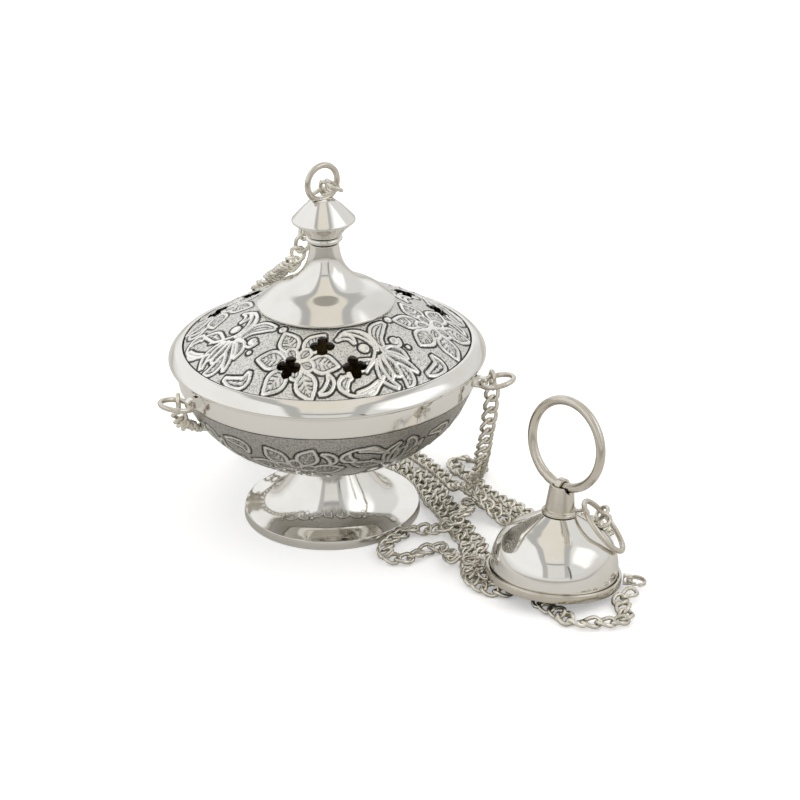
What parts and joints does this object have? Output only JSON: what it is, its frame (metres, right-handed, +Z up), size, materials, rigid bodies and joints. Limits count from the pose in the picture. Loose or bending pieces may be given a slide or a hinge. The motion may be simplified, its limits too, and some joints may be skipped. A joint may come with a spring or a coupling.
{
  "type": "hanging incense burner",
  "caption": "Hanging church incense burner in polished and embossed silver plate: footed bowl, pierced domed lid with spire, chains, and a domed hand cap with finger ring.",
  "frame": {"origin": "on the table, under the centre of the box round everything but the chains", "axes": "+Z up, -Y towards the viewer of the picture, +X to the viewer's right, from the burner towards the hand cap"},
  "size_m": [0.1762, 0.2173, 0.1418],
  "materials": {
    "polished_silver": "polished silver plate",
    "embossed_silver": "embossed silver plate with darkened ground",
    "ring_silver": "polished wire, plated brass",
    "chain_silver": "plated wire chain",
    "coal_cup_brass": "dull brass",
    "inner_hardware": "machined brass"
  },
  "bodies": {
    "burner": {"foot": "polished_silver", "foot_bolt": "inner_hardware", "foot_washer": "inner_hardware", "foot_nut": "inner_hardware", "bowl": "embossed_silver", "bowl_lug_1": "polished_silver", "bowl_lug_2": "polished_silver", "bowl_lug_3": "polished_silver", "side_ring_1": "ring_silver", "side_ring_2": "ring_silver", "side_ring_3": "ring_silver", "side_chain_link_1": "chain_silver", "side_chain_link_2": "chain_silver", "side_chain_link_3": "chain_silver", "side_chain_1": "chain_silver", "side_chain_2": "chain_silver", "side_chain_3": "chain_silver", "lid_chain_floor": "chain_silver"},
    "coal_cup": {"coal_cup": "coal_cup_brass"},
    "lid": {"lid_rim": "polished_silver", "lid_shell": "embossed_silver", "spire": "polished_silver", "spire_bead": "polished_silver", "finial": "polished_silver", "spire_rod": "inner_hardware", "spire_washer": "inner_hardware", "spire_nut": "inner_hardware", "top_ring": "ring_silver", "lid_chain_link": "chain_silver", "lid_chain_top": "chain_silver"},
    "hand_cap": {"cap_dome": "polished_silver", "cap_rim": "polished_silver", "cap_collar": "polished_silver", "ring_eye_bolt": "ring_silver", "eye_washer": "inner_hardware", "eye_nut": "inner_hardware", "cap_lug_1": "polished_silver", "cap_lug_2": "polished_silver", "cap_lug_3": "polished_silver", "cap_split_ring_1": "ring_silver", "cap_split_ring_2": "ring_silver", "cap_split_ring_3": "ring_silver"},
    "finger_ring": {"finger_ring": "ring_silver"},
    "lift_pull": {"lift_link": "chain_silver", "lift_chain": "chain_silver"},
    "lift_ring": {"lift_ring": "ring_silver"}
  },
  "joints": [
    {"name": "coal_cup_lift", "type": "slide", "parent": "burner", "child": "coal_cup", "axis": [0, 0, 1], "range_m": [0, 0.016]},
    {"name": "lid_lift", "type": "slide", "parent": "burner", "child": "lid", "axis": [0, 0, 1], "range_m": [0, 0.025]},
    {"name": "hand_cap_lift", "type": "slide", "parent": "burner", "child": "hand_cap", "axis": [0, 0, 1], "range_m": [0, 0.03]},
    {"name": "finger_ring_swing", "type": "hinge", "parent": "hand_cap", "child": "finger_ring", "pos_m": [0.05702, -0.05174, 0.03818], "axis": [0.6952, -0.7187, 0.0131], "range_deg": [-75, 75]},
    {"name": "lift_pull_out", "type": "slide", "parent": "hand_cap", "child": "lift_pull", "axis": [0.7537, 0.1266, 0.6449], "range_m": [0, 0.025]},
    {"name": "lift_ring_swing", "type": "hinge", "parent": "lift_pull", "child": "lift_ring", "pos_m": [0.07271, -0.04083, 0.02168], "axis": [-0.6509, 0.0083, 0.7591], "range_deg": [0, 80]}
  ],
  "couplings": [
    {"joint": "lift_pull_out", "follows": "lid_lift", "ratio": 1}
  ]
}
